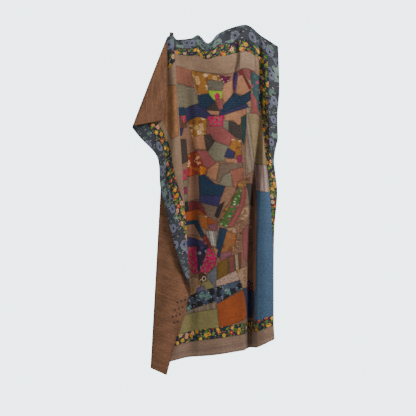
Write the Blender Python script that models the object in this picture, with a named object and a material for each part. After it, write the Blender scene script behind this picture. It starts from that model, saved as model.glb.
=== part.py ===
"""Kantha quilt, hung by its top edge from two points 0.53 m apart.

The cloth is described flat first: u runs from its left hem and v from its top hem, in metres.
hang() then lays each flat point in space. The front of the cloth faces -Y and +Z is up.
The origin is where the right-hand point grips the top hem.
"""

import bmesh
import bpy
import numpy as np
from mathutils import Vector
from mathutils.geometry import delaunay_2d_cdt

# Flat cloth
WIDTH = 1.50
LENGTH = 2.20
PRINT_STRIP = 0.10  # outer strip at the top, left and right
FLORAL_STRIP = 0.075  # inside it, on all four sides
HEM_BAND = 0.11  # plain band along the bottom
LAYER = 0.00135  # each of the two layers, front and backing
GAP = 0.0003  # between layers, and between pieces sewn side by side

# Faceting
NET_ACROSS = 0.071
NET_DOWN = 0.082
ARC_STEPS = 3  # facets round a fold
ALONG_FOLD = 0.10
VALLEY_LINES = (-1, -0.55, 0, 0.55, 1)  # across the deep valley, in its half widths
PINCH_LINES = (-0.7, 0, 0.7)
SEARCH_POINTS = 1201  # along each line where a fold is looked for
CLEAR_SHARE = 0.45  # of NET_ACROSS, kept clear round every seam and fold line

# Rows of the cloth as it would hang with no fold turned over: v, then (u, x, z) along the row.
ROWS = [
    (0.00, [(0.0, -1.120, -0.411), (0.31, -0.838, -0.196), (0.62, -0.533, -0.045), (0.70, -0.479, -0.099),
            (0.80, -0.383, -0.089), (0.85, -0.337, -0.066), (0.94, -0.263, -0.128), (1.03, -0.192, -0.058),
            (1.13, -0.102, -0.014), (1.23, 0.0, 0.010), (1.38, 0.126, -0.078), (1.50, 0.234, -0.150)]),
    (0.30, [(0.0, -0.993, -0.70), (0.30, -0.750, -0.53), (0.57, -0.552, -0.345), (0.66, -0.490, -0.30),
            (0.80, -0.385, -0.32), (0.95, -0.265, -0.340), (1.10, -0.140, -0.350), (1.23, -0.010, -0.32),
            (1.32, 0.100, -0.37), (1.40, 0.165, -0.41), (1.50, 0.240, -0.453)]),
    (0.52, [(0.0, -0.903, -0.895), (0.10, -0.845, -0.86), (0.30, -0.722, -0.77), (0.51, -0.567, -0.62),
            (0.64, -0.479, -0.59), (0.80, -0.367, -0.578), (0.97, -0.222, -0.575), (1.12, -0.080, -0.57),
            (1.235, 0.052, -0.565), (1.325, 0.116, -0.600), (1.40, 0.158, -0.625), (1.50, 0.226, -0.655)]),
    (0.75, [(0.0, -0.938, -1.11), (0.10, -0.876, -1.07), (0.30, -0.700, -0.98), (0.46, -0.585, -0.90),
            (0.62, -0.470, -0.845), (0.80, -0.345, -0.815), (1.00, -0.170, -0.80), (1.15, -0.010, -0.79),
            (1.24, 0.092, -0.80), (1.325, 0.132, -0.82), (1.40, 0.165, -0.83), (1.50, 0.232, -0.85)]),
    (1.25, [(0.0, -0.942, -1.583), (0.10, -0.850, -1.56), (0.34, -0.620, -1.49), (0.50, -0.490, -1.435),
            (0.65, -0.365, -1.375), (0.80, -0.230, -1.340), (0.985, -0.010, -1.315), (1.10, 0.050, -1.305),
            (1.21, 0.090, -1.305), (1.325, 0.180, -1.31), (1.40, 0.248, -1.312), (1.50, 0.325, -1.314)]),
    (1.75, [(0.0, -0.858, -2.055), (0.225, -0.646, -1.99), (0.40, -0.500, -1.935), (0.60, -0.330, -1.875),
            (0.80, -0.155, -1.845), (0.965, -0.005, -1.825), (1.08, 0.035, -1.820), (1.19, 0.075, -1.815),
            (1.325, 0.200, -1.79), (1.40, 0.270, -1.782), (1.50, 0.365, -1.779)]),
    (2.20, [(0.0, -0.801, -2.448), (0.12, -0.668, -2.408), (0.25, -0.555, -2.38), (0.42, -0.420, -2.347),
            (0.65, -0.229, -2.325), (0.94, -0.005, -2.293), (1.06, 0.038, -2.286), (1.17, 0.075, -2.275),
            (1.30, 0.180, -2.225), (1.40, 0.265, -2.195), (1.50, 0.350, -2.185)]),
]

# Folds turned forward one after the other: the crest's two ends (x, z), the radius at each end,
# and the side that moves, seen from the front. The first makes the long left edge of the hung cloth.
FORWARD_FOLDS = [
    ((-0.533, -0.035), (-0.667, -2.435), (0.0050, 0.0150), "left"),
    ((-0.508, -0.050), (-0.394, -1.768), (0.0050, 0.0180), "right"),
    ((-0.533, -0.035), (-0.790, -0.721), (0.0060, 0.0160), "left"),
]
# The right-hand strips turn back: crest (z, x), how much of the turn there is, and its radius.
BACK_FOLD = [(-2.30, 0.212), (-2.08, 0.199), (-1.73, 0.199), (-1.46, 0.203), (-1.18, 0.224), (-1.06, 0.212),
             (-0.96, 0.202), (-0.86, 0.216), (-0.72, 0.27)]
BACK_RADIUS = 0.017

# Troughs (positive depth, toward the wall) and ridges (negative): z, x of the bottom, half width, depth.
RELIEF = {
    "right valley": [
        (-2.40, 0.033, 0.052, 0.110), (-1.66, 0.037, 0.052, 0.108), (-1.24, 0.055, 0.050, 0.096),
        (-0.85, 0.090, 0.044, 0.072), (-0.55, 0.106, 0.040, 0.060), (-0.30, 0.107, 0.035, 0.044),
        (-0.12, 0.094, 0.032, 0.020), (-0.01, 0.080, 0.032, 0.000),
    ],
    "left valley": [
        (-2.40, -0.400, 0.085, 0.020), (-1.75, -0.395, 0.080, 0.040), (-1.20, -0.385, 0.075, 0.036),
        (-0.70, -0.400, 0.060, 0.022), (-0.30, -0.420, 0.050, 0.000),
    ],
    "left ridge": [
        (-2.40, -0.600, 0.100, -0.010), (-1.30, -0.500, 0.090, -0.016), (-0.70, -0.495, 0.055, -0.034),
        (-0.35, -0.505, 0.050, -0.024), (-0.05, -0.520, 0.050, -0.004),
    ],
    "middle swell": [
        (-2.40, -0.190, 0.170, -0.026), (-1.60, -0.200, 0.160, -0.030), (-0.90, -0.180, 0.170, -0.024),
        (-0.30, -0.200, 0.150, -0.020), (-0.05, -0.260, 0.120, -0.030),
    ],
    "right ridge": [
        (-2.40, 0.140, 0.090, -0.028), (-1.50, 0.140, 0.080, -0.026), (-0.80, 0.160, 0.060, -0.018),
        (-0.20, 0.180, 0.060, -0.004),
    ],
    "top crease": [
        (-0.56, -0.105, 0.032, 0.000), (-0.43, -0.099, 0.032, 0.016), (-0.34, -0.085, 0.030, 0.024),
        (-0.22, -0.062, 0.030, 0.024), (-0.12, -0.071, 0.030, 0.010), (-0.05, -0.080, 0.030, 0.000),
    ],
    "border pinch": [
        (-1.02, 0.144, 0.030, 0.000), (-0.85, 0.143, 0.030, 0.034), (-0.66, 0.140, 0.030, 0.030),
        (-0.50, 0.138, 0.030, 0.000),
    ],
}
STAND_OFF = 0.080  # how far the hanging cloth stands forward of its two hanging points
STAND_OFF_DROP = 0.7  # and how far down it takes to get there


def smooth_through(stations, values, at):
    """A curve through the values at the stations that never overshoots them."""
    stations = np.asarray(stations, float)
    values = np.asarray(values, float)
    at = np.clip(np.asarray(at, float), stations[0], stations[-1])
    if values.ndim == 1:
        values = np.repeat(values[:, None], len(at), axis=1)
    step = np.diff(stations)[:, None]
    rise = np.diff(values, axis=0) / step
    product = rise[1:] * rise[:-1]
    total = np.where(product > 0, rise[1:] + rise[:-1], 1)
    inner = np.where(product > 0, 2 * product / total, 0)
    slope = np.vstack([rise[:1], inner, rise[-1:]])
    span = np.clip(np.searchsorted(stations, at, side="right") - 1, 0, len(step) - 1)
    column = np.arange(len(at))
    reach = step[span, 0]
    t = (at - stations[span]) / reach
    return (
        values[span, column] * (1 + 2 * t) * (1 - t) ** 2
        + slope[span, column] * reach * t * (1 - t) ** 2
        + values[span + 1, column] * t**2 * (3 - 2 * t)
        + slope[span + 1, column] * reach * t**2 * (t - 1)
    )


def unfolded(u, v):
    """Where a flat point hangs before any fold is turned: x and z."""
    heights = [height for height, row in ROWS]
    across = [smooth_through(*np.array(row).T[:2], u) for height, row in ROWS]
    upright = [smooth_through(*np.array(row).T[::2], u) for height, row in ROWS]
    return smooth_through(heights, across, v), smooth_through(heights, upright, v)


def turn_forward(x, y, z, moves, start, end, radii, side):
    """Rolls the cloth past a crest toward the front. Only what the fold before it moved can move."""
    along = np.subtract(end, start)
    length = np.hypot(*along)
    along = along / length
    outward = np.array([along[1], -along[0]])
    if side == "right":
        outward = -outward
    from_start = np.stack([x - start[0], z - start[1]])
    travel = along @ from_start
    beyond = outward @ from_start
    radius = np.interp(travel, [0, length], radii)
    arc = np.maximum(beyond + radius, 0)
    angle = np.clip(arc / radius, 0, np.pi)
    past = np.maximum(arc - np.pi * radius, 0)
    moved = moves & (arc > 0)
    turned = -radius + radius * np.sin(angle) - past
    shift = np.where(moved, turned - beyond, 0)
    forward = np.where(moved, radius * (1 - np.cos(angle)), 0)
    return x + outward[0] * shift, y - forward, z + outward[1] * shift, moved


def turn_back(x, y, z):
    """Rolls the right-hand strips behind the cloth, past their crest."""
    heights, places = np.array(BACK_FOLD).T
    crest = smooth_through(heights, places, z)
    arc = np.maximum(x - crest + BACK_RADIUS, 0)
    angle = np.clip(arc / BACK_RADIUS, 0, np.pi)
    past = np.maximum(arc - np.pi * BACK_RADIUS, 0)
    turned = crest - BACK_RADIUS + BACK_RADIUS * np.sin(angle) - past
    return np.where(arc > 0, turned, x), y + BACK_RADIUS * (1 - np.cos(angle))


def relief(x, z):
    """How far the cloth at x, z stands from the plane of its hanging points. All layers follow it."""
    drop = np.clip(-z / STAND_OFF_DROP, 0, 1)
    depth = -STAND_OFF * drop * (2 - drop)
    for stations in RELIEF.values():
        heights, middles, widths, depths = np.array(stations).T
        middle = smooth_through(heights, middles, z)
        half_width = smooth_through(heights, widths, z)
        amount = smooth_through(heights, depths, z)
        reach = np.clip(np.abs(x - middle) / half_width, 0, 1)
        depth = depth + amount * (1 + np.cos(np.pi * reach)) / 2
    return depth


def hang(u, v):
    """The middle of the cloth's thickness at each flat point, as an array of x, y, z."""
    u = np.asarray(u, float)
    v = np.asarray(v, float)
    x, z = unfolded(u, v)
    y = np.zeros_like(x)
    moves = x < 0
    for start, end, radii, side in FORWARD_FOLDS:
        x, y, z, moves = turn_forward(x, y, z, moves, start, end, radii, side)
    x, y = turn_back(x, y, z)
    return np.stack([x, y + relief(x, z), z], axis=1)


def line_points(start, end, step):
    """Evenly spaced flat points from start to end."""
    count = max(2, int(np.ceil(np.hypot(*np.subtract(end, start)) / step)) + 1)
    return [tuple(point) for point in np.linspace(start, end, count)]


def crossings(value, line):
    """Where a value known along a straight flat line passes zero: the flat point, or None."""
    near = (np.abs(value[1:]) < 1) & (np.abs(value[:-1]) < 1)
    change = np.nonzero((np.diff(np.sign(value)) != 0) & near)[0]
    if len(change) == 0:
        return None
    first = change[0]
    share = value[first] / (value[first] - value[first + 1])
    return tuple(line[first] + share * (line[first + 1] - line[first]))


def fold_arcs():
    """Flat lines along every fold and along the walls of the deep valley.

    Each is looked for between two flat columns, since the right half of the cloth has no forward fold.
    """
    measures = []
    for number in range(len(FORWARD_FOLDS)):
        for step in range(ARC_STEPS + 1):
            measures.append((turn_progress, number, np.pi * step / ARC_STEPS, 0, 1.2))
    for step in range(ARC_STEPS + 1):
        measures.append((back_progress, None, np.pi * step / ARC_STEPS, 1.1, WIDTH))
    for place in VALLEY_LINES:
        measures.append((valley_progress, "right valley", place, 0.8, WIDTH))
    for place in PINCH_LINES:
        measures.append((valley_progress, "border pinch", place, 1.1, WIDTH))
    arcs = []
    for measure, which, level, left, right in measures:
        across = np.linspace(left, right, SEARCH_POINTS)
        arc = []
        for v in np.linspace(0, LENGTH, round(LENGTH / ALONG_FOLD) + 1):
            row = np.stack([across, np.full_like(across, v)], axis=1)
            found = crossings(measure(row, which) - level, row)
            if found:
                arc.append(found)
        if measure is turn_progress:
            column = np.stack([np.zeros(SEARCH_POINTS), np.linspace(0, LENGTH, SEARCH_POINTS)], axis=1)
            at_hem = crossings(measure(column, which) - level, column)
            if at_hem:
                arc.append(at_hem)
        arcs.append(arc)
    return arcs


def back_progress(row, which):
    """The angle turned at each flat point round the fold that turns back."""
    x, z = unfolded(row[:, 0], row[:, 1])
    heights, places = np.array(BACK_FOLD).T
    return np.where(z < BACK_FOLD[-1][0], (x - smooth_through(heights, places, z)) / BACK_RADIUS + 1, -5.0)


def valley_progress(row, which):
    """How far each flat point lies from the bottom of a trough, in its half widths."""
    x, z = unfolded(row[:, 0], row[:, 1])
    heights, middles, widths, depths = np.array(RELIEF[which]).T
    reach = (x - smooth_through(heights, middles, z)) / smooth_through(heights, widths, z)
    return np.where((z > heights[0]) & (z < heights[-1]), reach, -5.0)


def turn_progress(row, number):
    """The angle turned at each flat point round one forward fold, going on past its end."""
    x, z = unfolded(row[:, 0], row[:, 1])
    y = np.zeros_like(x)
    moves = np.ones(len(x), bool)
    for start, end, radii, side in FORWARD_FOLDS[:number]:
        x, y, z, moves = turn_forward(x, y, z, moves, start, end, radii, side)
    start, end, radii, side = FORWARD_FOLDS[number]
    along = np.subtract(end, start)
    length = np.hypot(*along)
    along = along / length
    outward = np.array([along[1], -along[0]]) * (-1 if side == "right" else 1)
    from_start = np.stack([x - start[0], z - start[1]])
    radius = np.interp(along @ from_start, [0, length], radii)
    return np.where(moves, (outward @ from_start + radius) / radius, -5.0)


def flat_net():
    """Triangles over the flat cloth, with edges along every seam and every fold."""
    top = [0.0, PRINT_STRIP, PRINT_STRIP + FLORAL_STRIP]
    columns = top + [WIDTH - place for place in top]
    rows = top + [LENGTH - HEM_BAND - FLORAL_STRIP, LENGTH - HEM_BAND, LENGTH]
    chains = [line_points((u, 0), (u, LENGTH), NET_DOWN) for u in columns]
    chains += [line_points((0, v), (WIDTH, v), NET_ACROSS) for v in rows]
    chains += fold_arcs()
    points = []
    edges = []
    for chain in chains:
        first = len(points)
        points += chain
        edges += [(first + i, first + i + 1) for i in range(len(chain) - 1)]
    taken = np.array(points)
    for i, v in enumerate(np.linspace(0, LENGTH, round(LENGTH / NET_DOWN) + 1)[1:-1]):
        for u in np.linspace(0, WIDTH, round(WIDTH / NET_ACROSS) + 1)[1:-1]:
            shifted = u + (i % 2 - 0.5) * NET_ACROSS / 2
            if np.min(np.hypot(taken[:, 0] - shifted, taken[:, 1] - v)) > NET_ACROSS * CLEAR_SHARE:
                points.append((shifted, v))
    flat = [Vector(point) for point in points]
    found = delaunay_2d_cdt(flat, edges, [], 0, 1e-4)
    net = np.array([tuple(point) for point in found[0]])
    faces = np.array([face[:3] for face in found[2]])
    return np.clip(net, (0, 0), (WIDTH, LENGTH)), faces


def front_normals(flat):
    """Unit normals of the cloth's front side at flat points."""
    step = 0.002
    right = hang(flat[:, 0] + step, flat[:, 1]) - hang(flat[:, 0] - step, flat[:, 1])
    down = hang(flat[:, 0], flat[:, 1] + step) - hang(flat[:, 0], flat[:, 1] - step)
    normal = np.cross(right, down)
    return -normal / np.linalg.norm(normal, axis=1)[:, None]


def cloth_material(name, colour, roughness):
    material = bpy.data.materials.new(name)
    material.use_nodes = True
    shader = material.node_tree.nodes["Principled BSDF"]
    shader.inputs["Base Color"].default_value = (*colour, 1)
    shader.inputs["Roughness"].default_value = roughness
    shader.inputs["Metallic"].default_value = 0
    return material


def sewn_piece(name, net, faces, area, front, material, collection):
    """One layer of cloth over a rectangle of the flat cloth: left, top, right and bottom.

    Its two faces are lofted by hand along the whole quilt's normals, which keep sewn neighbours apart.
    """
    left, top, right, bottom = area
    middles = net[faces].mean(axis=1)
    inside = (middles > (left, top)).all(axis=1) & (middles < (right, bottom)).all(axis=1)
    used, index = np.unique(faces[inside], return_inverse=True)
    half = GAP / 2
    flat = np.clip(net[used], (left + half, top + half), (right - half, bottom - half))
    side = 1 if front else -1
    middle = hang(flat[:, 0], flat[:, 1])
    normal = side * front_normals(flat)
    triangles = index.reshape(-1, 3)[:, ::-side]
    shell = bmesh.new()
    outer = [shell.verts.new(place) for place in middle + normal * (half + LAYER)]
    inner = [shell.verts.new(place) for place in middle + normal * half]
    shell.verts.index_update()
    for corners in triangles:
        shell.faces.new([outer[corner] for corner in corners])
    rim = [edge for edge in shell.edges if edge.is_boundary]
    pairs = dict(zip(outer, inner))
    for edge in rim:
        face = edge.link_faces[0]
        ahead, behind = edge.verts
        if next(loop for loop in face.loops if loop.edge == edge).vert == ahead:
            ahead, behind = behind, ahead
        corners = [ahead, behind, pairs[behind], pairs[ahead]]
        if flat[ahead.index].sum() > flat[behind.index].sum():
            corners = corners[1:] + corners[:1]
        shell.faces.new(corners[:3])
        shell.faces.new([corners[0], corners[2], corners[3]])
    for corners in triangles:
        shell.faces.new([inner[corner] for corner in corners[::-1]])
    mesh = bpy.data.meshes.new(name)
    shell.to_mesh(mesh)
    shell.free()
    mesh.materials.append(material)
    piece = bpy.data.objects.new(name, mesh)
    collection.objects.link(piece)


def build_quilt():
    for old in list(bpy.data.objects):
        bpy.data.objects.remove(old)
    collection = bpy.data.collections.new("Kantha quilt")
    bpy.context.scene.collection.children.link(collection)
    net, faces = flat_net()
    inner = PRINT_STRIP + FLORAL_STRIP
    band_top = LENGTH - HEM_BAND
    floral_top = band_top - FLORAL_STRIP
    brown = cloth_material("brown plain-weave cotton", (0.21, 0.09, 0.05), 0.9)
    tan = cloth_material("pieced cotton", (0.36, 0.22, 0.15), 0.9)
    floral = cloth_material("flower-printed cotton", (0.03, 0.05, 0.05), 0.9)
    slate = cloth_material("slate printed cotton", (0.05, 0.06, 0.07), 0.9)
    far_print = WIDTH - PRINT_STRIP
    far_floral = WIDTH - inner
    pieces = [
        ("backing", (0, 0, WIDTH, LENGTH), brown),
        ("patchwork_panel", (inner, inner, far_floral, floral_top), tan),
        ("floral_border_top", (PRINT_STRIP, PRINT_STRIP, far_print, inner), floral),
        ("floral_border_left", (PRINT_STRIP, inner, inner, floral_top), floral),
        ("floral_border_right", (far_floral, inner, far_print, floral_top), floral),
        ("floral_border_bottom", (PRINT_STRIP, floral_top, far_print, band_top), floral),
        ("print_border_top", (0, 0, WIDTH, PRINT_STRIP), slate),
        ("print_border_left", (0, PRINT_STRIP, PRINT_STRIP, band_top), slate),
        ("print_border_right", (far_print, PRINT_STRIP, WIDTH, band_top), slate),
        ("hem_band_bottom", (0, band_top, WIDTH, LENGTH), tan),
    ]
    for name, area, material in pieces:
        sewn_piece(name, net, faces, area, name != "backing", material, collection)


build_quilt()
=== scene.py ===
"""Looks of the kantha quilt: its cloths, seams, stitching and light."""

import math

import bpy
import numpy as np
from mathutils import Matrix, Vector
from mathutils.geometry import delaunay_2d_cdt


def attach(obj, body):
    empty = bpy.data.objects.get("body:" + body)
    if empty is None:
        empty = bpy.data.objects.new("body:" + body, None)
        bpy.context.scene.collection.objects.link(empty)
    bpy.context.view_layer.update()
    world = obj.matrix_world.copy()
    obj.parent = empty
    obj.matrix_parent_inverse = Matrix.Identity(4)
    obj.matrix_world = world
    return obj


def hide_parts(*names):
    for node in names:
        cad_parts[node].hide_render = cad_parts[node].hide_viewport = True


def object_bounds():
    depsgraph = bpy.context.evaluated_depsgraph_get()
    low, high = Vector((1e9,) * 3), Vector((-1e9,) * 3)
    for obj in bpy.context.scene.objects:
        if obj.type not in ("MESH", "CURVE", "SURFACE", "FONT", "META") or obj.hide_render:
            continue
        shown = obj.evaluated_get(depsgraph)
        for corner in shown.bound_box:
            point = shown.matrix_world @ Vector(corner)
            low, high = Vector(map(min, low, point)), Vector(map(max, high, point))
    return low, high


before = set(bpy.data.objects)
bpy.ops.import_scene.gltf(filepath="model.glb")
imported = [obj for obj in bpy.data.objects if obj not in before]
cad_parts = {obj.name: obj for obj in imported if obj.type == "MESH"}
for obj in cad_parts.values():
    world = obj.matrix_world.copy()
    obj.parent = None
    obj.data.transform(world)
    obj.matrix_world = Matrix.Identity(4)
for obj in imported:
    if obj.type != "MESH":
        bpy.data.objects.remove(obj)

cad_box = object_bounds()

# --- Backing -------------------------------------------------------------------------------
# The whole back is one plain-weave cotton cloth, dyed brown and faded. It is stitched through
# to the front in close rows, and it shows where the left side is folded forward.
# Its flat place is u from the left hem and v from the top hem; hang() lays that in space.

WIDTH = 1.50
LENGTH = 2.20
PRINT_STRIP = 0.10
FLORAL_STRIP = 0.075
HEM_BAND = 0.11
INNER = PRINT_STRIP + FLORAL_STRIP
BAND_TOP = LENGTH - HEM_BAND
FLORAL_TOP = BAND_TOP - FLORAL_STRIP

# Rows of the cloth as it would hang with no fold turned over: v, then (u, x, z) along the row.
ROWS = [
    (0.00, [(0.0, -1.120, -0.411), (0.31, -0.838, -0.196), (0.62, -0.533, -0.045), (0.70, -0.479, -0.099),
            (0.80, -0.383, -0.089), (0.85, -0.337, -0.066), (0.94, -0.263, -0.128), (1.03, -0.192, -0.058),
            (1.13, -0.102, -0.014), (1.23, 0.0, 0.010), (1.38, 0.126, -0.078), (1.50, 0.234, -0.150)]),
    (0.30, [(0.0, -0.993, -0.70), (0.30, -0.750, -0.53), (0.57, -0.552, -0.345), (0.66, -0.490, -0.30),
            (0.80, -0.385, -0.32), (0.95, -0.265, -0.340), (1.10, -0.140, -0.350), (1.23, -0.010, -0.32),
            (1.32, 0.100, -0.37), (1.40, 0.165, -0.41), (1.50, 0.240, -0.453)]),
    (0.52, [(0.0, -0.903, -0.895), (0.10, -0.845, -0.86), (0.30, -0.722, -0.77), (0.51, -0.567, -0.62),
            (0.64, -0.479, -0.59), (0.80, -0.367, -0.578), (0.97, -0.222, -0.575), (1.12, -0.080, -0.57),
            (1.235, 0.052, -0.565), (1.325, 0.116, -0.600), (1.40, 0.158, -0.625), (1.50, 0.226, -0.655)]),
    (0.75, [(0.0, -0.938, -1.11), (0.10, -0.876, -1.07), (0.30, -0.700, -0.98), (0.46, -0.585, -0.90),
            (0.62, -0.470, -0.845), (0.80, -0.345, -0.815), (1.00, -0.170, -0.80), (1.15, -0.010, -0.79),
            (1.24, 0.092, -0.80), (1.325, 0.132, -0.82), (1.40, 0.165, -0.83), (1.50, 0.232, -0.85)]),
    (1.25, [(0.0, -0.942, -1.583), (0.10, -0.850, -1.56), (0.34, -0.620, -1.49), (0.50, -0.490, -1.435),
            (0.65, -0.365, -1.375), (0.80, -0.230, -1.340), (0.985, -0.010, -1.315), (1.10, 0.050, -1.305),
            (1.21, 0.090, -1.305), (1.325, 0.180, -1.31), (1.40, 0.248, -1.312), (1.50, 0.325, -1.314)]),
    (1.75, [(0.0, -0.858, -2.055), (0.225, -0.646, -1.99), (0.40, -0.500, -1.935), (0.60, -0.330, -1.875),
            (0.80, -0.155, -1.845), (0.965, -0.005, -1.825), (1.08, 0.035, -1.820), (1.19, 0.075, -1.815),
            (1.325, 0.200, -1.79), (1.40, 0.270, -1.782), (1.50, 0.365, -1.779)]),
    (2.20, [(0.0, -0.801, -2.448), (0.12, -0.668, -2.408), (0.25, -0.555, -2.38), (0.42, -0.420, -2.347),
            (0.65, -0.229, -2.325), (0.94, -0.005, -2.293), (1.06, 0.038, -2.286), (1.17, 0.075, -2.275),
            (1.30, 0.180, -2.225), (1.40, 0.265, -2.195), (1.50, 0.350, -2.185)]),
]

# Folds turned forward one after the other: the crest's two ends (x, z), the radius at each end,
# and the side that moves, seen from the front. The first makes the long left edge of the hung cloth.
FORWARD_FOLDS = [
    ((-0.533, -0.035), (-0.667, -2.435), (0.0050, 0.0150), "left"),
    ((-0.508, -0.050), (-0.394, -1.768), (0.0050, 0.0180), "right"),
    ((-0.533, -0.035), (-0.790, -0.721), (0.0060, 0.0160), "left"),
]
# The right-hand strips turn back: the crest's place (z, x) down the cloth, with one radius for the whole
# turn.
BACK_FOLD = [(-2.30, 0.212), (-2.08, 0.199), (-1.73, 0.199), (-1.46, 0.203), (-1.18, 0.224), (-1.06, 0.212),
             (-0.96, 0.202), (-0.86, 0.216), (-0.72, 0.27)]
BACK_RADIUS = 0.017

# Troughs (positive depth, toward the wall) and ridges (negative): z, x of the bottom, half width, depth.
RELIEF = {
    "right valley": [
        (-2.40, 0.033, 0.052, 0.110), (-1.66, 0.037, 0.052, 0.108), (-1.24, 0.055, 0.050, 0.096),
        (-0.85, 0.090, 0.044, 0.072), (-0.55, 0.106, 0.040, 0.060), (-0.30, 0.107, 0.035, 0.044),
        (-0.12, 0.094, 0.032, 0.020), (-0.01, 0.080, 0.032, 0.000),
    ],
    "left valley": [
        (-2.40, -0.400, 0.085, 0.020), (-1.75, -0.395, 0.080, 0.040), (-1.20, -0.385, 0.075, 0.036),
        (-0.70, -0.400, 0.060, 0.022), (-0.30, -0.420, 0.050, 0.000),
    ],
    "left ridge": [
        (-2.40, -0.600, 0.100, -0.010), (-1.30, -0.500, 0.090, -0.016), (-0.70, -0.495, 0.055, -0.034),
        (-0.35, -0.505, 0.050, -0.024), (-0.05, -0.520, 0.050, -0.004),
    ],
    "middle swell": [
        (-2.40, -0.190, 0.170, -0.026), (-1.60, -0.200, 0.160, -0.030), (-0.90, -0.180, 0.170, -0.024),
        (-0.30, -0.200, 0.150, -0.020), (-0.05, -0.260, 0.120, -0.030),
    ],
    "right ridge": [
        (-2.40, 0.140, 0.090, -0.028), (-1.50, 0.140, 0.080, -0.026), (-0.80, 0.160, 0.060, -0.018),
        (-0.20, 0.180, 0.060, -0.004),
    ],
    "top crease": [
        (-0.56, -0.105, 0.032, 0.000), (-0.43, -0.099, 0.032, 0.016), (-0.34, -0.085, 0.030, 0.024),
        (-0.22, -0.062, 0.030, 0.024), (-0.12, -0.071, 0.030, 0.010), (-0.05, -0.080, 0.030, 0.000),
    ],
    "border pinch": [
        (-1.02, 0.144, 0.030, 0.000), (-0.85, 0.143, 0.030, 0.034), (-0.66, 0.140, 0.030, 0.030),
        (-0.50, 0.138, 0.030, 0.000),
    ],
}
STAND_OFF = 0.080  # how far the hanging cloth stands forward of its two hanging points
STAND_OFF_DROP = 0.7  # and how far down it takes to get there


def smooth_through(stations, values, at):
    """A curve through the values at the stations that never overshoots them."""
    stations = np.asarray(stations, float)
    values = np.asarray(values, float)
    at = np.clip(np.asarray(at, float), stations[0], stations[-1])
    if values.ndim == 1:
        values = np.repeat(values[:, None], len(at), axis=1)
    step = np.diff(stations)[:, None]
    rise = np.diff(values, axis=0) / step
    product = rise[1:] * rise[:-1]
    total = np.where(product > 0, rise[1:] + rise[:-1], 1)
    inner = np.where(product > 0, 2 * product / total, 0)
    slope = np.vstack([rise[:1], inner, rise[-1:]])
    span = np.clip(np.searchsorted(stations, at, side="right") - 1, 0, len(step) - 1)
    column = np.arange(len(at))
    reach = step[span, 0]
    t = (at - stations[span]) / reach
    return (
        values[span, column] * (1 + 2 * t) * (1 - t) ** 2
        + slope[span, column] * reach * t * (1 - t) ** 2
        + values[span + 1, column] * t**2 * (3 - 2 * t)
        + slope[span + 1, column] * reach * t**2 * (t - 1)
    )


def unfolded(u, v):
    """Where a flat point hangs before any fold is turned: x and z."""
    heights = [height for height, row in ROWS]
    across = [smooth_through(*np.array(row).T[:2], u) for height, row in ROWS]
    upright = [smooth_through(*np.array(row).T[::2], u) for height, row in ROWS]
    return smooth_through(heights, across, v), smooth_through(heights, upright, v)


def turn_forward(x, y, z, moves, start, end, radii, side):
    """Rolls the cloth past a crest toward the front. Only what the fold before it moved can move."""
    along = np.subtract(end, start)
    length = np.hypot(*along)
    along = along / length
    outward = np.array([along[1], -along[0]])
    if side == "right":
        outward = -outward
    from_start = np.stack([x - start[0], z - start[1]])
    travel = along @ from_start
    beyond = outward @ from_start
    radius = np.interp(travel, [0, length], radii)
    arc = np.maximum(beyond + radius, 0)
    angle = np.clip(arc / radius, 0, np.pi)
    past = np.maximum(arc - np.pi * radius, 0)
    moved = moves & (arc > 0)
    turned = -radius + radius * np.sin(angle) - past
    shift = np.where(moved, turned - beyond, 0)
    forward = np.where(moved, radius * (1 - np.cos(angle)), 0)
    return x + outward[0] * shift, y - forward, z + outward[1] * shift, moved


def turn_back(x, y, z):
    """Rolls the right-hand strips behind the cloth, past their crest."""
    heights, places = np.array(BACK_FOLD).T
    crest = smooth_through(heights, places, z)
    arc = np.maximum(x - crest + BACK_RADIUS, 0)
    angle = np.clip(arc / BACK_RADIUS, 0, np.pi)
    past = np.maximum(arc - np.pi * BACK_RADIUS, 0)
    turned = crest - BACK_RADIUS + BACK_RADIUS * np.sin(angle) - past
    return np.where(arc > 0, turned, x), y + BACK_RADIUS * (1 - np.cos(angle))


def relief(x, z):
    """How far the cloth at x, z stands from the plane of its hanging points. All layers follow it."""
    drop = np.clip(-z / STAND_OFF_DROP, 0, 1)
    depth = -STAND_OFF * drop * (2 - drop)
    for stations in RELIEF.values():
        heights, middles, widths, depths = np.array(stations).T
        middle = smooth_through(heights, middles, z)
        half_width = smooth_through(heights, widths, z)
        amount = smooth_through(heights, depths, z)
        reach = np.clip(np.abs(x - middle) / half_width, 0, 1)
        depth = depth + amount * (1 + np.cos(np.pi * reach)) / 2
    return depth


def hang(u, v):
    """The middle of the cloth's thickness at each flat point, as an array of x, y, z."""
    u = np.asarray(u, float)
    v = np.asarray(v, float)
    x, z = unfolded(u, v)
    y = np.zeros_like(x)
    moves = x < 0
    for start, end, radii, side in FORWARD_FOLDS:
        x, y, z, moves = turn_forward(x, y, z, moves, start, end, radii, side)
    x, y = turn_back(x, y, z)
    return np.stack([x, y + relief(x, z), z], axis=1)


NORMAL_STEP = 0.0015  # m to each side of a point, from which its normal is taken


def front_normals(flat):
    """Unit normals of the cloth's front side at flat points."""
    u, v = flat.T
    right = hang(u + NORMAL_STEP, v) - hang(u - NORMAL_STEP, v)
    down = hang(u, v + NORMAL_STEP) - hang(u, v - NORMAL_STEP)
    normal = np.cross(right, down)
    return -normal / np.linalg.norm(normal, axis=1)[:, None]


def linear(colour):
    """A linear colour from sRGB hex."""
    parts = [int(colour[i:i + 2], 16) / 255 for i in (1, 3, 5)]
    return [part / 12.92 if part <= 0.04045 else ((part + 0.055) / 1.055) ** 2.4 for part in parts] + [1]


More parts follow.
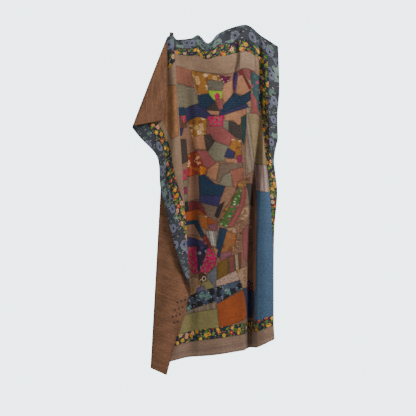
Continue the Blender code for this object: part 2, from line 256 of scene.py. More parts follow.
def add(tree, kind, links=(), **settings):
    """Adds a node, with its settings, its socket values ("in_0" and so on) and its links."""
    node = tree.nodes.new(kind)
    for key, value in settings.items():
        if key.startswith("in_"):
            node.inputs[int(key[3:])].default_value = value
        else:
            setattr(node, key, value)
    for socket, source in links:
        tree.links.new(source, node.inputs[socket])
    return node


def noise(tree, place, scale, detail, output=0):
    """Smooth noise over a place. Output 0 is its value and output 1 its colour."""
    return add(tree, "ShaderNodeTexNoise", [(0, place)], in_2=scale, in_3=detail).outputs[output]


def remap(tree, value, start, end, new_start, new_end):
    """A value moved evenly from one range to another and held at its ends."""
    return add(tree, "ShaderNodeMapRange", [(0, value)],
               in_1=start, in_2=end, in_3=new_start, in_4=new_end).outputs[0]


def times(tree, first, second):
    """Two values multiplied."""
    return add(tree, "ShaderNodeMath", [(0, first), (1, second)], operation="MULTIPLY").outputs[0]


def measure(tree, flat, along, across):
    """The flat place counted in so many mm along the rows of stitching and across them."""
    scale = (1000 / along, 1000 / across, 1)
    return add(tree, "ShaderNodeMapping", [(0, flat)], in_3=scale).outputs[0]


def dye(tree, cell_colour, colours):
    """One of the colours for each cell of a pattern."""
    pick = add(tree, "ShaderNodeSeparateColor", [(0, cell_colour)]).outputs[0]
    ramp = add(tree, "ShaderNodeValToRGB", [(0, pick)])
    fill_ramp(ramp, colours)
    return ramp.outputs[0]


NO_SCALE = 0.0001  # a scale so small that a stripe runs on without end


def woven_stripes(tree, flat, spacing, colours):
    """Stripes along the rows, or down the cloth where the spacing in mm is negative."""
    scale = (NO_SCALE, 1000 / spacing, 1) if spacing > 0 else (-1000 / spacing, NO_SCALE, 1)
    across = add(tree, "ShaderNodeMapping", [(0, flat)], in_3=scale).outputs[0]
    bands = add(tree, "ShaderNodeTexVoronoi", [(0, across)], voronoi_dimensions="2D", in_2=1.0)
    return dye(tree, bands.outputs[1], colours)


SOFT_PRINT_EDGE = 0.88  # share of a printed spot's radius where its edge starts to soften
SOFT_HOLE_EDGE = 0.85  # and the same for the hole of a ring


def printed(tree, flat, ground, under, motif):
    """The cloth's colour with one motif printed over it."""
    spacing, size, inner, colours, stretch, wobble, shift = motif
    cells = add(tree, "ShaderNodeMapping", [(0, flat)], in_1=(shift, shift * 0.7, 0),
                in_3=(1000 / spacing / stretch, 1000 / spacing, 1)).outputs[0]
    if wobble:
        bend = noise(tree, cells, 2.3, 1.0, output=1)
        bent = add(tree, "ShaderNodeMix", [(4, cells), (5, bend)], data_type="VECTOR", in_0=wobble)
        cells = bent.outputs[1]
    spots = add(tree, "ShaderNodeTexVoronoi", [(0, cells)], voronoi_dimensions="2D", in_2=1.0)
    mask = remap(tree, spots.outputs[0], size, size * SOFT_PRINT_EDGE, 0.0, 1.0)
    if inner:
        mask = times(tree, mask, remap(tree, spots.outputs[0], inner * SOFT_HOLE_EDGE, inner, 0.0, 1.0))
    ink = dye(tree, spots.outputs[1], colours)
    mix = add(tree, "ShaderNodeMix", [(0, mask), (7, ink)], data_type="RGBA")
    mix.inputs[6].default_value = linear(ground)
    if under is not None:
        tree.links.new(under, mix.inputs[6])
    return mix.outputs[2]


STITCH_ROW = 9.0  # mm between rows of running stitch
STITCH_MARK = 16.0  # mm along a row over which stitches darken and lighten the cloth
STREAK = 130.0  # mm that a worn streak runs along the rows
SLUB = (14, 1.6)  # mm that a thick stretch of yarn runs, and its width
# Painted shade: seams and cut edges are darkened in colour where the sunk seam would lie in shadow
SEAM_PAINTED_SHADE = 0.55  # how much of its tone the cloth keeps in a seam


def cotton(name, ground, motifs=(), stripes=None, fade=0.16, streaks=0.06):
    """Matt cotton, faded in blotches, printed with motifs, toned along its rows of stitching, and darkened in
    its seams with painted shade.

    A motif is (spacing mm, size, inner size, colours, stretch, wobble, shift): spots that size in
    cells that far apart, as rings where the inner size is over 0. Stripes are (spacing mm, colours).
    """
    material = bpy.data.materials.new(name)
    material.use_nodes = True
    tree = material.node_tree
    shader = tree.nodes["Principled BSDF"]
    shader.inputs["Roughness"].default_value = 0.88
    shader.inputs["Specular IOR Level"].default_value = 0.25
    shader.inputs["Sheen Weight"].default_value = 0.12
    shader.inputs["Sheen Roughness"].default_value = 0.5
    flat = add(tree, "ShaderNodeUVMap", uv_map="flat").outputs[0]

    blotch = remap(tree, noise(tree, flat, 9.0, 4.0), 0.3, 0.7, 1 - fade, 1 + fade)
    yarn = remap(tree, noise(tree, measure(tree, flat, *SLUB), 1.0, 2.0), 0.25, 0.75, 0.86, 1.14)
    tone = times(tree, blotch, yarn)
    for long, wide, share in [(STITCH_MARK, STITCH_ROW, 0.2), (STREAK, 1.2 * STITCH_ROW, streaks)]:
        worn = noise(tree, measure(tree, flat, long, wide), 1.0, 1.0)
        tone = times(tree, tone, remap(tree, worn, 0.3, 0.7, 1 - share, 1 + share))
    # Painted shade: the seam measure darkens the cloth along its seams and cut edges
    seam = add(tree, "ShaderNodeAttribute", attribute_name="seam").outputs[2]
    tone = times(tree, tone, remap(tree, seam, 0.0, 1.0, 1.0, SEAM_PAINTED_SHADE))

    colour = woven_stripes(tree, flat, *stripes) if stripes else None
    for motif in motifs:
        colour = printed(tree, flat, ground, colour, motif)
    toned = add(tree, "ShaderNodeMix", [(7, tone)], data_type="RGBA", blend_type="MULTIPLY", in_0=1.0)
    toned.inputs[6].default_value = linear(ground)
    if colour is not None:
        tree.links.new(colour, toned.inputs[6])
    tree.links.new(toned.outputs[2], shader.inputs["Base Color"])
    return material


def fill_ramp(ramp, colours):
    """Puts flat bands of colour on a ramp, evenly spread."""
    ramp.color_ramp.interpolation = "CONSTANT"
    elements = ramp.color_ramp.elements
    while len(elements) < len(colours):
        elements.new(0.5)
    while len(elements) > len(colours):
        elements.remove(elements[-1])
    for index, colour in enumerate(colours):
        elements[index].position = index / len(colours)
        elements[index].color = linear(colour)


def lay_piece(name, flat, faces, lift, seam):
    """A sheet of cloth over flat points, lifted from the quilt's middle, standing for its CAD node."""
    places = hang(flat[:, 0], flat[:, 1]) + np.reshape(lift, (-1, 1)) * front_normals(flat)
    mesh = bpy.data.meshes.new(name)
    mesh.from_pydata(places.tolist(), [], faces.tolist())
    layer = mesh.uv_layers.new(name="flat")
    corners = np.empty(len(mesh.loops), np.int32)
    mesh.loops.foreach_get("vertex_index", corners)
    layer.data.foreach_set("uv", flat[corners].ravel())
    mesh.attributes.new("seam", "FLOAT", "POINT").data.foreach_set("value", seam)
    mesh.shade_smooth()
    piece = bpy.data.objects.new(name + "_cloth", mesh)
    bpy.context.scene.collection.objects.link(piece)
    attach(piece, "root")
    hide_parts(name)
    return piece


SEAM_WIDTH = 0.003  # m over which a seam fades into the cloth beside it
SEAM_DEPTH = 0.0004  # m that a seam sinks


def strip_sheet(name, area, lift, step):
    """A rectangular cut of cloth as an even grid: area is its left, top, right and bottom."""
    left, top, right, bottom = area
    across = round((right - left) / step) + 1
    down = round((bottom - top) / step) + 1
    u, v = np.meshgrid(np.linspace(left, right, across), np.linspace(top, bottom, down))
    flat = np.stack([u.ravel(), v.ravel()], axis=1)
    corner = (np.arange(down - 1)[:, None] * across + np.arange(across - 1)).ravel()
    faces = np.stack([corner, corner + across, corner + across + 1, corner + 1], axis=1)
    edge = np.minimum.reduce([flat[:, 0] - left, right - flat[:, 0], flat[:, 1] - top, bottom - flat[:, 1]])
    # The seam measure sinks the cloth at its edges, and the material also uses it to paint shade there
    seam = np.exp(-edge / SEAM_WIDTH)
    sunk = lift - SEAM_DEPTH * seam * np.sign(lift)
    return lay_piece(name, flat, faces, sunk, seam)


FRONT = 0.0012  # m in front of the quilt's middle
BACK = -0.0012
BACK_GRID = 0.0068  # m between the points of the backing's grid

backing = strip_sheet("backing", (0, 0, WIDTH, LENGTH), BACK, BACK_GRID)
brown = cotton("brown plain-weave cotton, piece-dyed and faded", "#7E543B", fade=0.2, streaks=0.22)
backing.data.materials.append(brown)

# --- Print borders -------------------------------------------------------------------------
# Wide outer strips of slate cotton, block printed with sage shapes, grey discs and short pale
# dashes. They are cut across the cloth and seamed to the flowered strips.

STRIP_GRID = 0.005  # m between the points of a strip's grid

slate = cotton(
    "slate block-printed cotton", "#3B3E45",
    [
        (38, 0.40, 0, ["#6A8074", "#5B7167", "#3B3E45", "#73887D", "#3B3E45"], 1.3, 0.5, 3.1),
        (17, 0.32, 0, ["#3B3E45", "#2A2D34", "#54625F", "#3B3E45"], 1.4, 0.5, 9.7),
        (15, 0.16, 0, ["#B09A92", "#3B3E45", "#7F9186", "#2F323A"], 2.4, 0.2, 1.3),
        (104, 0.30, 0, ["#75758A", "#6D6D7C"], 1.0, 0.0, 4.4),
        (104, 0.21, 0.17, ["#4A4C56"], 1.0, 0.0, 4.4),
        (104, 0.10, 0, ["#2B2D36"], 1.0, 0.0, 4.4),
    ],
    fade=0.1,
)
for name, area in [
    ("print_border_top", (0, 0, WIDTH, PRINT_STRIP)),
    ("print_border_left", (0, PRINT_STRIP, PRINT_STRIP, BAND_TOP)),
    ("print_border_right", (WIDTH - PRINT_STRIP, PRINT_STRIP, WIDTH, BAND_TOP)),
]:
    strip_sheet(name, area, FRONT, STRIP_GRID).data.materials.append(slate)

# --- Flowered borders ----------------------------------------------------------------------
# Narrow strips of dark cotton, screen printed all over with small yellow, peach and red flowers
# among green leaves, seamed between the print strips and the patched centre.

flowered = cotton(
    "flower-printed cotton, screen printed on navy", "#20253A",
    [
        (13, 0.42, 0, ["#4E7024", "#20253A", "#5F8230", "#3A5626"], 1.3, 0.4, 2.3),
        (42, 0.30, 0, ["#D48E10", "#DB9A78", "#D9A024", "#B8391A", "#D48E10"], 1.0, 0.15, 5.9),
        (42, 0.08, 0, ["#8A4A12", "#E8C79C"], 1.0, 0.15, 5.9),
        (17, 0.20, 0, ["#D2957A", "#20253A", "#C9870F", "#4E7024", "#B8391A"], 1.0, 0.1, 8.4),
    ],
    fade=0.08,
)
for name, area in [
    ("floral_border_top", (PRINT_STRIP, PRINT_STRIP, WIDTH - PRINT_STRIP, INNER)),
    ("floral_border_left", (PRINT_STRIP, INNER, INNER, FLORAL_TOP)),
    ("floral_border_right", (WIDTH - INNER, INNER, WIDTH - PRINT_STRIP, FLORAL_TOP)),
    ("floral_border_bottom", (PRINT_STRIP, FLORAL_TOP, WIDTH - PRINT_STRIP, BAND_TOP)),
]:
    strip_sheet(name, area, FRONT, STRIP_GRID).data.materials.append(flowered)

# --- Hem band ------------------------------------------------------------------------------
# The bottom band is tan cotton with faint woven grey stripes along it, turned under at the
# bottom edge and run through with the same rows of stitching.

HEM_GRID = 0.006  # m between the points of the hem band's grid

striped = cotton("tan yarn-striped cotton", "#8E6F5B",
                 stripes=(13, ["#8E6F5B", "#93745F", "#816758", "#896A59", "#957763"]), fade=0.1)
hem_band = strip_sheet("hem_band_bottom", (0, BAND_TOP, WIDTH, LENGTH), FRONT, HEM_GRID)
hem_band.data.materials.append(striped)

# --- Patched centre ------------------------------------------------------------------------
# Old cotton cloths, plain and printed, laid over one another on a tan ground and sewn down
# through every layer. Seams sink a little and carry painted shade, and each patch keeps its own fade.

# Outlines are in centimetres on the flat quilt. A later patch lies over an earlier one.
PATCHES = [
    ("brown", [(46, 30), (119, 30), (119, 202), (38, 202), (40, 150), (48, 100)]),
    ("orange brown", [(36, 22), (44, 29), (37, 40), (31, 52), (22, 49), (22, 37), (30, 28)]),
    ("light tan", [(120, 18), (130, 17), (130, 28), (120, 29)]),
    ("brick", [(62, 29), (80, 30), (82, 41), (62, 39)]),
    ("olive grey", [(62, 39), (82, 41), (86, 52), (63, 54)]),
    ("mustard flowers", [(80, 30), (106, 31), (106, 35), (94, 36), (94, 44), (86, 45)]),
    ("tweed", [(94, 35), (108, 35), (107, 42), (94, 42)]),
    ("wine dots", [(105, 31), (114, 32), (110, 37), (107, 35)]),
    ("peach", [(108, 37), (115, 34), (113, 46), (106, 51), (104, 45)]),
    ("lime and pink", [(94, 42), (106, 42), (104, 48), (95, 48)]),
    ("purple", [(116, 31), (119, 30), (118, 38), (114, 43)]),
    ("peach", [(119, 33), (123, 32), (125, 42), (120, 46), (115, 44), (117, 38)]),
    ("dark red", [(119, 30), (122, 29), (126, 41), (124, 42), (122, 33), (120, 33)]),
    ("rose", [(123, 29), (129, 28), (128, 36), (125, 35)]),
    ("rose", [(99, 48), (104, 47), (104, 57), (100, 56)]),
    ("navy", [(70, 53), (86, 50), (98, 56), (119, 50), (121, 55), (104, 60), (90, 61), (72, 62)]),
    ("teal", [(85, 45), (94, 44), (99, 50), (92, 54), (85, 52)]),
    ("teal", [(104, 52), (114, 43), (117, 46), (125, 43), (124, 48), (119, 51), (103, 57)]),
    ("charcoal", [(90, 55), (98, 49), (101, 56)]),
    ("peach", [(91, 55), (101, 56), (100, 59), (94, 58)]),
    ("teal", [(62, 52), (71, 52), (72, 57), (63, 57)]),
    ("plaid", [(63, 57), (73, 57), (72, 65), (64, 65)]),
    ("rosebuds", [(66, 57), (72, 57), (71, 62), (69, 62)]),
    ("mustard flowers", [(74, 61), (84, 59), (91, 61), (89, 72), (76, 73)]),
    ("rosebuds", [(91, 59), (104, 59), (103, 67), (92, 67)]),
    ("grey green", [(103, 62), (107, 62), (106, 73), (102, 70)]),
    ("charcoal", [(107, 63), (114, 66), (113, 77), (105, 74)]),
    ("peach", [(104, 59), (120, 54), (119, 58), (113, 67), (110, 63), (104, 63)]),
    ("dark green", [(115, 61), (119, 58), (118, 67), (114, 81), (113, 78)]),
    ("rose", [(90, 66), (102, 67), (110, 76), (107, 82), (96, 77), (89, 72)]),
    ("peach", [(76, 73), (87, 72), (88, 82), (77, 81)]),
    ("dark print", [(87, 72), (92, 72), (95, 77), (90, 84), (87, 83)]),
    ("grey olive", [(95, 77), (105, 82), (98, 91), (89, 90), (86, 85)]),
    ("mustard flowers", [(107, 76), (113, 78), (110, 89), (105, 89), (104, 82)]),
    ("navy", [(103, 82), (107, 86), (104, 90), (98, 88)]),
    ("peach", [(98, 89), (106, 90), (107, 93), (98, 92)]),
    ("magenta", [(107, 88), (111, 88), (109, 93), (106, 93)]),
    ("rose", [(77, 81), (87, 83), (91, 91), (84, 95), (79, 90)]),
    ("red leaves", [(69, 83), (78, 82), (82, 90), (78, 99), (66, 97)]),
    ("orange yellow", [(79, 92), (84, 94), (81, 99), (77, 98)]),
    ("lime and pink", [(57, 71), (64, 70), (64, 80), (59, 79)]),
    ("navy", [(64, 65), (69, 65), (66, 70), (64, 70)]),
    ("charcoal", [(63, 72), (70, 73), (69, 87), (62, 88)]),
    ("rosebuds", [(60, 92), (67, 92), (65, 98), (60, 98)]),
    ("olive grey", [(60, 98), (66, 98), (63, 113), (59, 113)]),
    ("magenta", [(60, 102), (64, 103), (63, 107), (60, 106)]),
    ("peach", [(84, 95), (92, 91), (95, 93), (88, 104), (82, 99)]),
    ("grey brown", [(93, 92), (110, 93), (107, 101), (98, 98), (90, 107), (87, 103)]),
    ("grey olive", [(92, 100), (98, 98), (94, 111), (87, 107)]),
    ("rust", [(98, 97), (109, 96), (103, 110), (95, 111)]),
    ("brown", [(67, 97), (77, 97), (73, 113), (62, 112)]),
    ("teal", [(76, 98), (81, 98), (86, 105), (91, 107), (87, 114), (73, 112)]),
    ("navy purple", [(73, 111), (87, 113), (84, 121), (72, 115)]),
    ("dark red", [(65, 112), (73, 115), (77, 126), (60, 119)]),
    ("grey brown", [(74, 116), (84, 120), (82, 131), (76, 126)]),
    ("brown", [(91, 107), (97, 109), (88, 121), (85, 118)]),
    ("black", [(84, 120), (88, 117), (83, 128), (81, 126)]),
    ("rust leaves", [(100, 105), (113, 103), (110, 108), (98, 112), (84, 133), (82, 129)]),
    ("charcoal", [(107, 107), (115, 107), (112, 122), (105, 122)]),
    ("baroque", [(97, 120), (109, 122), (112, 148), (93, 151), (85, 146), (87, 134)]),
    ("green flowers", [(97, 109), (101, 110), (87, 135), (83, 132)]),
    ("rose", [(101, 110), (105, 111), (90, 135), (87, 135)]),
    ("black", [(59, 111), (63, 112), (62, 119), (59, 118)]),
    ("orange", [(59, 118), (70, 119), (76, 125), (82, 131), (75, 132), (68, 126), (59, 124)]),
    ("orange flowers", [(68, 122), (76, 125), (75, 135), (70, 131)]),
    ("brown", [(58, 125), (66, 127), (69, 138), (58, 133)]),
    ("teal", [(57, 118), (59, 124), (68, 126), (72, 138), (69, 139), (65, 128), (57, 126)]),
    ("plum", [(75, 131), (82, 131), (81, 137), (77, 136)]),
    ("grey stripes", [(73, 135), (81, 136), (79, 147), (74, 145)]),
    ("red weave", [(70, 138), (73, 137), (76, 147), (69, 146)]),
    ("orange flowers", [(86, 137), (92, 140), (89, 152), (79, 158)]),
    ("teal", [(83, 134), (87, 136), (80, 155), (77, 153)]),
    ("navy purple", [(56, 133), (69, 141), (73, 147), (55, 142)]),
    ("rosebuds", [(55, 141), (65, 144), (63, 162), (59, 163), (53, 153)]),
    ("dark flowers", [(64, 143), (73, 145), (67, 157), (62, 163)]),
    ("rosebuds", [(73, 146), (79, 152), (76, 160), (69, 164), (62, 164), (68, 154)]),
    ("peach", [(76, 146), (80, 149), (78, 153)]),
    ("rose", [(96, 138), (104, 134), (103, 161), (96, 158)]),
    ("plum", [(81, 152), (88, 151), (88, 156), (80, 158)]),
    ("brown stripes", [(85, 155), (94, 153), (93, 167), (84, 169)]),
    ("mustard dark", [(78, 158), (85, 156), (84, 168), (76, 170)]),
    ("grey blue", [(67, 166), (77, 160), (75, 174), (73, 175)]),
    ("olive", [(63, 171), (68, 167), (74, 175), (65, 177)]),
    ("mustard motif", [(51, 164), (61, 165), (62, 172), (55, 178), (50, 173)]),
    ("ring", [(62, 163), (68, 163), (68, 169), (62, 170)]),
    ("lavender", [(59, 173), (65, 172), (66, 177), (58, 177)]),
    ("sprigs", [(75, 170), (90, 165), (92, 174), (73, 178)]),
    ("mustard motif", [(90, 165), (102, 162), (103, 178), (93, 178)]),
    ("dark motifs", [(51, 177), (60, 176), (92, 172), (94, 178), (74, 186), (48, 187)]),
    ("tan stripes", [(49, 187), (73, 184), (74, 190), (47, 190)]),
    ("olive", [(46, 189), (74, 189), (74, 204), (38, 203)]),
    ("orange", [(73, 186), (94, 179), (101, 198), (73, 203)]),
    ("navy", [(94, 178), (115, 179), (117, 189), (114, 200), (101, 199)]),
    ("wine dots", [(101, 174), (116, 174), (116, 181), (102, 181)]),
    ("tan brown", [(113, 153), (119, 152), (124, 180), (114, 181)]),
    ("tan stripes", [(119, 54), (122, 54), (123, 80), (121, 97), (109, 102), (115, 82)]),
    ("teal and pink", [(127, 29), (134, 29), (134, 46), (129, 55), (126, 46)]),
    ("rose", [(124, 44), (128, 47), (127, 60), (121, 60)]),
    ("olive tan", [(119, 58), (133, 58), (133, 93), (119, 93)]),
    ("pink stripes", [(119, 93), (133, 93), (133, 112), (119, 112)]),
    ("denim", [(119, 112), (133, 112), (133, 202), (116, 202), (117, 181), (119, 180)]),
]
cloths = {
    "tan": cotton("tan plain cotton, faded", "#8B6D56"),
    "light tan": cotton("light tan plain cotton, faded", "#9A7D66"),
    "orange brown": cotton("orange-brown cotton, blurred block print", "#94623F",
                           [(30, 0.3, 0, ["#9C6A3E", "#8B5A3A"], 1.0, 0.5, 2.0)], fade=0.2),
    "brown": cotton("brown plain cotton, faded", "#855E48", fade=0.22),
    "peach": cotton("peach plain cotton, faded", "#A06C4D"),
    "brick": cotton("brick plain cotton, faded", "#885441"),
    "olive grey": cotton("olive-grey plain cotton, faded", "#706550"),
    "grey olive": cotton("grey-olive plain cotton, faded", "#726A54"),
    "grey green": cotton("grey-green plain cotton, faded", "#6E6A55"),
    "grey brown": cotton("grey-brown plain cotton, faded", "#6C5646"),
    "grey blue": cotton("grey-blue plain cotton, faded", "#605F62"),
    "rose": cotton("rose plain cotton, faded", "#8A4643"),
    "rust": cotton("rust-rose plain cotton, faded", "#8C5140"),
    "plum": cotton("plum plain cotton, faded", "#78464B"),
    "teal": cotton("teal plain cotton, indigo overdyed", "#102B40"),
    "navy": cotton("navy plain cotton, indigo dyed", "#292849"),
    "navy purple": cotton("purple-navy plain cotton, indigo dyed", "#2E264F"),
    "purple": cotton("purple plain cotton, faded", "#44285A"),
    "magenta": cotton("magenta plain cotton, faded", "#7E1E46"),
    "dark red": cotton("dark red plain cotton, faded", "#6A2226"),
    "dark green": cotton("dark green plain cotton, faded", "#1F3936"),
    "charcoal": cotton("charcoal cotton, small pale print", "#382F2A",
                       [(9, 0.12, 0, ["#5C5148", "#382F2A"], 1.0, 0.2, 1.0)]),
    "black": cotton("black plain cotton, faded", "#231F20"),
    "orange": cotton("orange plain cotton, faded", "#93441A", fade=0.1),
    "orange yellow": cotton("orange and yellow printed cotton", "#B4621A",
                            [(12, 0.3, 0, ["#D69A1E", "#A8381C"], 1.0, 0.3, 6.0)]),
    "mustard dark": cotton("dark mustard printed cotton", "#6E4E18",
                           [(8, 0.2, 0, ["#3E3016"], 1.0, 0.2, 6.0)]),
    "olive": cotton("olive plain cotton, faded", "#85774A", fade=0.1),
    "tan brown": cotton("tan-brown plain cotton, faded", "#8A5F41"),
    "olive tan": cotton("olive-tan plain cotton, faded", "#8F7857"),
    "lavender": cotton("lavender plain cotton, faded", "#675670"),
    "denim": cotton("blue plain cotton, indigo dyed and washed", "#465F78", fade=0.08),
    "mustard flowers": cotton("mustard cotton, printed with cream flowers", "#925E22",
                              [(19, 0.42, 0.08, ["#B58E5E", "#925E22", "#C9A57C", "#7A4A1A"],
                                1.3, 0.5, 3.0)]),
    "wine dots": cotton("wine cotton, printed with white dots", "#5B0A32",
                        [(30, 0.17, 0, ["#D0B0B4"], 1.0, 0.0, 3.0)]),
    "tweed": cotton("grey checked cotton, yarn dyed", "#605848",
                    [(5, 0.3, 0, ["#3E3A31", "#7A705C"], 1.0, 0.0, 1.0)]),
    "plaid": cotton("brown checked cotton, yarn dyed", "#5A3D2E",
                    [(12, 0.3, 0, ["#47301F", "#6E3030"], 1.0, 0.0, 1.0)]),
    "lime and pink": cotton("lime cotton, printed with pink flowers", "#8DAA2A",
                            [(26, 0.46, 0, ["#A8124A", "#8DAA2A", "#B01C50"], 1.0, 0.4, 4.4)]),
    "rosebuds": cotton("pink rosebud cotton, printed with green leaves", "#B01450",
                       [(15, 0.30, 0, ["#56702C", "#6E2038", "#56702C"], 1.0, 0.3, 2.0)]),
    "dark print": cotton("dark brown cotton, small pale print", "#3A2E28",
                         [(10, 0.22, 0, ["#6A564A", "#4A3C34"], 1.0, 0.4, 1.0)]),
    "red leaves": cotton("red cotton, printed with leaves", "#87311D",
                         [(38, 0.36, 0.2, ["#B04A2A", "#C8926A", "#5E1A14"], 2.2, 0.5, 5.0),
                          (21, 0.22, 0, ["#A9741E", "#87311D", "#C4401C"], 1.5, 0.3, 2.0)]),
    "rust leaves": cotton("brown cotton, printed with rust leaves", "#7E5636",
                          [(18, 0.34, 0.12, ["#A4702C", "#5A3420"], 2.0, 0.4, 7.0)]),
    "baroque": cotton("brown cotton, printed with cream scrolls", "#7A5740",
                      [(30, 0.4, 0.26, ["#A88462", "#5A4032"], 1.5, 0.6, 3.0),
                       (13, 0.16, 0, ["#BFA07C", "#7A5740"], 1.0, 0.2, 6.0)]),
    "green flowers": cotton("green cotton, printed with white and pink flowers", "#3F5C28",
                            [(13, 0.33, 0, ["#AFA58C", "#3F5C28", "#93304F", "#7C8F5C", "#3F5C28"],
                              1.2, 0.4, 2.0)]),
    "orange flowers": cotton("brown and orange cotton, printed with cream flowers", "#8A562E",
                             [(20, 0.42, 0.08, ["#B08C66", "#9A4E1C", "#8A562E", "#6E4020"], 1.5, 0.5, 8.0)]),
    "grey stripes": cotton("grey striped cotton, yarn dyed", "#8A7F72",
                           stripes=(-9, ["#8A7F72", "#B0A494", "#6C6560"])),
    "brown stripes": cotton("brown striped cotton, yarn dyed", "#6E4E3C",
                            stripes=(-22, ["#6E4E3C", "#9A7A60", "#7A3A34", "#54402E", "#A4876C"])),
    "tan stripes": cotton("tan striped cotton, yarn dyed", "#8E7464",
                          stripes=(-11, ["#86705F", "#927B69", "#76624F"])),
    "pink stripes": cotton("pink and cream striped cotton, yarn dyed", "#A98C80",
                           stripes=(-12, ["#A98C80", "#B9A394", "#94706A"])),
    "red weave": cotton("dark red ikat cotton", "#6E2A28",
                        [(14, 0.3, 0, ["#9C5040", "#4A1C1E"], 2.0, 0.4, 3.0)]),
    "dark flowers": cotton("dark purple cotton, printed with pale flowers", "#241C30",
                           [(30, 0.3, 0, ["#7A6A84", "#41305A", "#241C30"], 1.0, 0.4, 3.0)]),
    "mustard motif": cotton("tan cotton, printed with mustard figures", "#A07C62",
                            [(34, 0.38, 0.2, ["#9A6A24", "#7C4E1E"], 1.0, 0.4, 2.0)]),
    "ring": cotton("dark brown cotton, printed with one cream ring a repeat", "#4A2E1A",
                   [(46, 0.4, 0.25, ["#B79E84"], 1.0, 0.0, 2.0)]),
    "sprigs": cotton("peach cotton, printed with small teal sprigs", "#AA8470",
                     [(36, 0.14, 0, ["#3E6A70"], 1.0, 0.0, 4.0)]),
    "dark motifs": cotton("slate cotton, printed with dark figures", "#3F4859",
                          [(26, 0.46, 0, ["#16181E", "#16181E", "#5C7A74", "#16181E"], 1.0, 0.5, 3.0),
                           (13, 0.2, 0, ["#8FA39A", "#3F4859", "#B48A88", "#16181E"], 2.0, 0.2, 7.0)]),
    "teal and pink": cotton("teal cotton, printed with pink flowers", "#314A4C",
                            [(20, 0.3, 0, ["#A03A5A", "#C08A8A", "#3E5A5C"], 1.0, 0.3, 2.0)]),
}


def holds(outline, points):
    """Which points lie inside an outline."""
    inside = np.zeros(len(points), bool)
    for (u1, v1), (u2, v2) in zip(outline, outline[1:] + outline[:1]):
        if v1 == v2:
            continue
        spans = (v1 > points[:, 1]) != (v2 > points[:, 1])
        crossing = u1 + (points[:, 1] - v1) * (u2 - u1) / (v2 - v1)
        inside ^= spans & (points[:, 0] < crossing)
    return inside


CELL = 0.0075  # m between the points of the panel's net, along the seams and inside
SMALLEST_FACE = 1e-9  # square metres: twice the area below which a face of the net is left out
UNSEEN = 999  # higher than any patch's number

left, top, right, bottom = INNER, INNER, WIDTH - INNER, FLORAL_TOP
outlines = [[(u / 100, v / 100) for u, v in outline] for cloth, outline in PATCHES]
points = []
edges = []
for outline in [[(left, top), (right, top), (right, bottom), (left, bottom)]] + outlines:
    for start, end in zip(outline, outline[1:] + outline[:1]):
        first = len(points)
        count = max(2, round(math.dist(start, end) / CELL) + 1)
        points += [tuple(place) for place in np.linspace(start, end, count)]
        edges += [(first + i, first + i + 1) for i in range(count - 1)]
filled = {(round(u / CELL), round(v / CELL)) for u, v in points}
for row in range(round(top / CELL) + 1, round(bottom / CELL)):
    for column in range(round(left / CELL) + 1, round(right / CELL)):
        if (column, row) not in filled:
            points.append((column * CELL, row * CELL))
found = delaunay_2d_cdt([Vector(point) for point in points], edges, [], 0, 1e-5)
flat = np.clip(np.array([tuple(point) for point in found[0]]), (left, top), (right, bottom))
faces = np.array([face[:3] for face in found[2]])
corners = flat[faces]
middles = corners.mean(axis=1)
size = np.abs(np.cross(corners[:, 1] - corners[:, 0], corners[:, 2] - corners[:, 0]))
kept = (size > SMALLEST_FACE) & (middles > (left, top)).all(axis=1) & (middles < (right, bottom)).all(axis=1)
faces = faces[kept]
middles = middles[kept]
owner = np.full(len(faces), -1)
for number, outline in enumerate(outlines):
    owner[holds(outline, middles)] = number
names = ["tan"] + [cloth for cloth, outline in PATCHES]
# A point where faces of two patches meet is on a seam.
lowest = np.full(len(flat), UNSEEN)
highest = np.full(len(flat), -UNSEEN)
np.minimum.at(lowest, faces.ravel(), np.repeat(owner, 3))
np.maximum.at(highest, faces.ravel(), np.repeat(owner, 3))
seam = np.where((lowest != highest) & (highest > -UNSEEN), 1.0, 0.0)
panel = lay_piece("patchwork_panel", flat, faces[:, ::-1], FRONT - SEAM_DEPTH * seam, seam)
slots = {}
for cloth in dict.fromkeys(names):
    slots[cloth] = len(slots)
    panel.data.materials.append(cloths[cloth])
face_slots = np.array([slots[names[number + 1]] for number in owner], np.int32)
panel.data.polygons.foreach_set("material_index", face_slots)

# --- Running stitches ----------------------------------------------------------------------
# The kantha work itself: rows of thick cotton thread across the cloth, in and out through all
# layers, each stitch about 5 mm long. Rows wander as hand work does, and dark thread darns the back.


def cotton_thread(name, dark, pale):
    """Soft matt thread that shifts in tone along its length."""
    material = bpy.data.materials.new(name)
    material.use_nodes = True
    tree = material.node_tree
    tree.nodes["Principled BSDF"].inputs["Roughness"].default_value = 0.8
    flat = add(tree, "ShaderNodeUVMap", uv_map="flat").outputs[0]
    shift = add(tree, "ShaderNodeTexNoise", [(0, flat)], in_2=12.0).outputs[0]
    ramp = add(tree, "ShaderNodeValToRGB", [(0, shift)])
    ramp.color_ramp.elements[0].color = linear(dark)
    ramp.color_ramp.elements[1].color = linear(pale)
    tree.links.new(ramp.outputs[0], tree.nodes["Principled BSDF"].inputs["Base Color"])
    return material


HEM_CLEAR = 0.001  # m that stitches keep inside the cloth's edges


def sew(name, starts, length, half_width, lift, thread):
    """Flat stitches along the rows from each start, on one side of the cloth, as one mesh."""
    corners = [(0, -half_width), (length, -half_width), (length, half_width), (0, half_width)]
    flat = np.concatenate([starts + corner for corner in corners])
    flat = np.clip(flat, (HEM_CLEAR, HEM_CLEAR), (WIDTH - HEM_CLEAR, LENGTH - HEM_CLEAR))
    count = len(starts)
    quads = np.stack([np.arange(count) + count * corner for corner in range(4)], axis=1)
    spots = hang(flat[:, 0], flat[:, 1]) + lift * front_normals(flat)
    mesh = bpy.data.meshes.new(name)
    mesh.from_pydata(spots.tolist(), [], quads.tolist())
    mesh.uv_layers.new(name="flat").data.foreach_set("uv", flat[quads.ravel()].ravel())
    mesh.materials.append(thread)
    stitches = bpy.data.objects.new(name, mesh)
    bpy.context.scene.collection.objects.link(stitches)
    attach(stitches, "root")


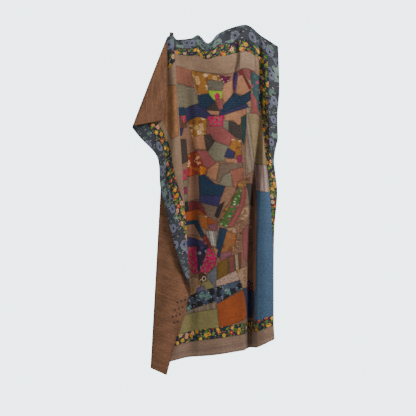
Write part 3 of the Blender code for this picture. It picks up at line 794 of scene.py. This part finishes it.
ROW_STEP = 0.0115  # m between rows
STITCH_STEP = 0.0105  # m from one stitch to the next
FIRST_STITCH = 0.006  # m from the left and top hems
LAST_ROW = 0.005  # m from the bottom hem
LAST_STITCH = 0.01  # m from the right hem to a stitch's start
STITCH_LENGTH = 0.0050
STITCH_HALF_WIDTH = 0.00055
WANDER = 0.002  # m that a row strays to each side
UNEVEN = 0.0008  # m that a single stitch is out of place, at most
THREAD_LIFT = 0.0004
ecru = cotton_thread("ecru cotton thread, three strands, matt", "#5A4236", "#8A705E")
hand = np.random.default_rng(7)
for name, lift, slot_name in [
    ("stitches_front", FRONT + THREAD_LIFT, "pieced_cotton"),
    ("stitches_back", BACK - THREAD_LIFT, "brown_cotton"),
]:
    down = np.arange(FIRST_STITCH, LENGTH - LAST_ROW, ROW_STEP)
    along = np.arange(FIRST_STITCH, WIDTH - LAST_STITCH, STITCH_STEP)
    rows, places = np.meshgrid(down, along, indexing="ij")
    offset = np.round(rows / ROW_STEP) % 2 * STITCH_STEP / 2
    wander = WANDER * np.sin(places * 9 + rows * 31)
    starts = np.stack([places + offset, rows + wander], axis=2).reshape(-1, 2)
    starts += hand.uniform(-UNEVEN, UNEVEN, starts.shape)
    sew(name, starts, STITCH_LENGTH, STITCH_HALF_WIDTH, lift, ecru)

dark_thread = cotton_thread("dark brown darning cotton, matt", "#2A1C18", "#46342C")
# A worn place near the left hem: eleven darns in three staggered columns.
darns = [(0.014 + 0.022 * (row % 3), 1.60 + 0.019 * row) for row in range(11)]
sew("darns_back", np.array(darns), 0.014, 0.0065, BACK - 2 * THREAD_LIFT, dark_thread)

# --- Floor, light and camera ---------------------------------------------------------------
# A floor of pale matt paint, well under the hem, and a pale room round the cloth. The main light is
# large and soft, from the right and in front, so that folds shade to the left. One lights the back.

FLOOR_DROP = 0.66  # m from the lowest corner of the cloth down to the floor
CAMERA_DISTANCE = 8.0
VIEW_WIDTH = 2.954  # m of the cloth's plane that the view takes in

lowest_corner, highest_corner = cad_box
room = bpy.data.materials.new("pale matt floor paint")
room.use_nodes = True
room.node_tree.nodes["Principled BSDF"].inputs["Base Color"].default_value = linear("#E6EBED")
room.node_tree.nodes["Principled BSDF"].inputs["Roughness"].default_value = 0.9
bpy.ops.mesh.primitive_plane_add(size=3.2, location=(-0.26, 0, lowest_corner[2] - FLOOR_DROP))
floor = bpy.context.object
floor.name = "floor"
floor.data.materials.append(room)

world = bpy.data.worlds.new("pale studio")
bpy.context.scene.world = world
world.use_nodes = True
tree = world.node_tree
seen = add(tree, "ShaderNodeLightPath").outputs["Is Camera Ray"]
tree.nodes["Background"].inputs[0].default_value = linear("#E1EEF4")
strength = remap(tree, seen, 0.0, 1.0, 0.36, 4.9)
tree.links.new(strength, tree.nodes["Background"].inputs[1])


def soft_light(name, place, target, size, power):
    """A square soft box aimed at a point."""
    lamp = bpy.data.lights.new(name, "AREA")
    lamp.size = size
    lamp.energy = power
    light = bpy.data.objects.new(name, lamp)
    light.location = place
    light.rotation_euler = (Vector(target) - Vector(place)).to_track_quat("-Z", "Y").to_euler()
    bpy.context.scene.collection.objects.link(light)


middle = Vector((-0.263, 0, -1.292))
soft_light("key", (2.4, -2.6, 1.2), middle, 1.3, 172)
soft_light("fill", (-2.2, -3.4, -0.8), middle, 2.4, 14)
soft_light("back", (-0.8, 3.6, 2.6), middle, 2.4, 90)

camera_data = bpy.data.cameras.new("camera")
camera = bpy.data.objects.new("camera", camera_data)
bpy.context.scene.collection.objects.link(camera)
camera_data.lens = camera_data.sensor_width * CAMERA_DISTANCE / VIEW_WIDTH
camera.location = middle + Vector((0, -CAMERA_DISTANCE, 0))
camera.rotation_euler = (math.radians(90), 0, 0)
bpy.context.scene.camera = camera
